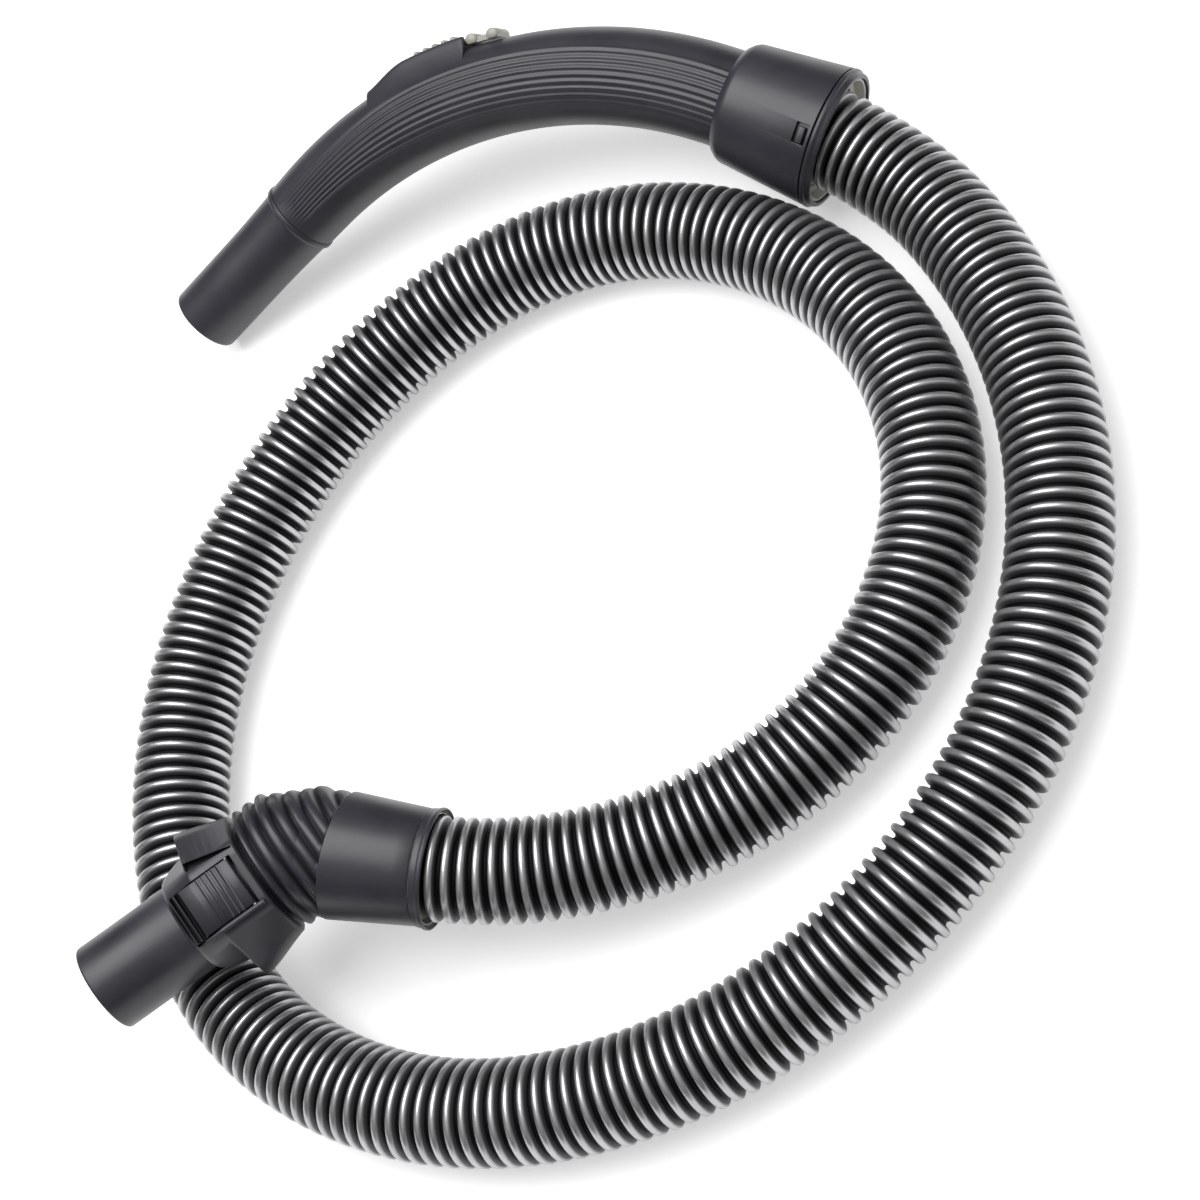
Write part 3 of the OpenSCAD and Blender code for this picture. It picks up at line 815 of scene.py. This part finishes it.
def build_shroud():
    heights = [15.4, 15.6, 16.1] + [17 + 1.0 * k for k in range(20)] + [36.3, 36.7, 37.0, 37.3, 37.7]
    heights += [38.5 + 1.0 * k for k in range(11)] + [49.5, 49.9, 50.0]
    verts = []
    for z in heights:
        inset = max(0.0, 0.8 - (z - 15.4) * 1.2) if z < 16.2 else max(0.0, (z - 49.2) * 0.9)
        for p in shroud_outline(z):
            verts.append(at_latch @ Vector(((p.x - p.normalized().x * inset) * MM,
                                            (p.y - p.normalized().y * inset) * MM, z * MM)))
    for z, r in ((50.0, 18.05), (33.0, 18.05), (33.0, 21.05), (15.4, 21.05)):
        for k in range(128):
            a = 2 * math.pi * (k + 0.5) / 128
            verts.append(at_latch @ Vector((r * math.cos(a) * MM, r * math.sin(a) * MM, z * MM)))
    shroud = make("shroud", verts, tube_faces(len(heights) + 4, 128), "connector", charcoal)
    cuts = []
    for side in (0, 180):
        here = at_latch @ turn(0, 0, side)
        cuts.append(block("cut", (-10.4, 15, 18.8), (10.4, 40, 48.4), here))
        cuts.append(slot_prism("cut", here, (16.6, 36.2), 5.0, -12.0))
    combine(shroud, cuts, "DIFFERENCE")
    soften(shroud, 0.3, angle=40)
    to_latch = at_latch.inverted()

    # Painted shade in the pockets that hold the levers.
    def pocket_shade(co):
        p = to_latch @ co / MM
        p = Vector((p.x, p.y, p.z)) if p.y > 0 else Vector((-p.x, -p.y, p.z))
        return 1.0 if abs(p.x) < 10.6 and p.y < 20.4 and 18.6 < p.z < 48.6 else 0.0

    mark_groove_shade(shroud, pocket_shade)
    # Painted shade: near-black blocks set deep in the slots beside the levers make the slots read dark.
    for name, side in (("upper", 0), ("lower", 180)):
        shade_filler = slot_prism(f"slot_shade_filler_{name}", at_latch @ turn(0, 0, side), (16.8, 36.0), 4.7, 4.0)
        shade_filler.data.materials.append(rubber)
        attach(shade_filler, "connector")
    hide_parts("latch_shroud")


build_shroud()

LEVER = [(20.3, 21.5), (20.3, 24.5), (20.8, 24.9), (23.4, 24.95)]
for k in range(5):
    LEVER += [(24.0 + 2.3 * k, 24.9), (24.8 + 2.3 * k, 25.2), (25.5 + 2.3 * k, 24.75)]
LEVER += [(37.4, 24.6), (42.6, 23.4), (43.0, 21.9), (44.4, 21.6), (44.6, 23.2), (45.5, 22.9), (45.7, 21.4),
          (46.7, 21.2), (46.9, 22.6), (47.7, 22.2), (47.8, 20.2), (44, 20.2), (35.2, 22), (24, 22), (23, 21.5)]
for name, node, body, side in (("lever_upper", "latch_lever_upper", "upper_lever", 0),
                               ("lever_lower", "latch_lever_lower", "lower_lever", 180)):
    here = at_latch @ turn(0, 0, side)
    verts, faces = sweep_outline([(y, z) for z, y in rounded(LEVER, 0.35, 2)], here, 9.9, 0.3)
    lever = make(name, verts, faces, body, charcoal, 50)
    to_lever = here.inverted()
    # Painted shade on the lever's low parts, down in its pocket.
    mark_groove_shade(lever, lambda co: 1.0 if (to_lever @ co / MM).y < 22.05 else 0.0)
    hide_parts(node)
    # A raised ledge guards one side of the lever.
    outline = [(22.0, 16.6), (25.7, 16.9), (26.0, 36.2), (24.2, 44.0), (21.0, 44.2), (20.0, 36.0)]
    verts, faces = sweep_outline(rounded(outline, 0.6, 3), here @ shift(11.5, 0, 0), 0.75, 0.3)
    make(f"ledge_{'upper' if side == 0 else 'lower'}", verts, faces, "connector", charcoal, 50)

# ---------------------------------------------------------------- CAD nodes that stay as they are
for node, material in (("regulator_gasket", rubber), ("handle_seal", rubber), ("swivel_seal", rubber),
                       ("swivel_clip", steel), ("latch_pins", steel), ("latch_spring_upper", steel),
                       ("latch_spring_lower", steel)):
    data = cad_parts[node].data
    data.materials.clear()
    data.materials.append(material)

# ---------------------------------------------------------------- floor and light
bpy.ops.mesh.primitive_plane_add(size=12, location=(0, 0, -0.0002))
floor = bpy.context.object
floor.name = "floor"
floor_material, nodes, links, shader, place = new_material("pale floor")
links.new(mixed(nodes, links, noise(nodes, links, place, 3, 2), (0.83, 0.83, 0.83), (0.85, 0.85, 0.85)),
          shader.inputs["Base Color"])
shader.inputs["Roughness"].default_value = 0.9
shader.inputs["Specular IOR Level"].default_value = 0.1
# A faint glow, as from a lit table, keeps the shadows light.
shader.inputs["Emission Color"].default_value = (1, 1, 1, 1)
shader.inputs["Emission Strength"].default_value = 0.42
floor.data.materials.append(floor_material)

world = bpy.data.worlds.new("studio")
scene.world = world
world.use_nodes = True
nodes, links = world.node_tree.nodes, world.node_tree.links
way = nodes.new("ShaderNodeTexCoord").outputs["Generated"]
split = nodes.new("ShaderNodeSeparateXYZ")
links.new(way, split.inputs["Vector"])
# A dome that is bright overhead and dim near the horizon. Seen directly, it is a pale backdrop.
seen = nodes.new("ShaderNodeLightPath").outputs["Is Camera Ray"]
strength = nodes.new("ShaderNodeMath")
strength.operation = "MAXIMUM"
links.new(spread(nodes, links, split.outputs["Z"], 0.06, 0.65, 0.35, 0.90), strength.inputs[0])
links.new(spread(nodes, links, seen, 0.0, 0.80, 0.0, 1.0), strength.inputs[1])
links.new(strength.outputs[0], nodes["Background"].inputs["Strength"])
nodes["Background"].inputs["Color"].default_value = (1, 1, 1, 1)


def softbox(name, place, aim, size, power):
    data = bpy.data.lights.new(name, "AREA")
    data.shape = "RECTANGLE"
    data.size, data.size_y = size
    data.energy = power
    lamp = bpy.data.objects.new(name, data)
    scene.collection.objects.link(lamp)
    lamp.location = place
    lamp.rotation_euler = (Vector(aim) - Vector(place)).to_track_quat("-Z", "Y").to_euler()


softbox("key", (-0.25, 0.15, 1.4), (0, 0, 0), (1.25, 1.25), 23)
softbox("side", (1.6, 0.2, 0.5), (0, 0, 0), (0.4, 1.2), 1.5)

scene.view_settings.view_transform = "Standard"
scene.view_settings.look = "None"
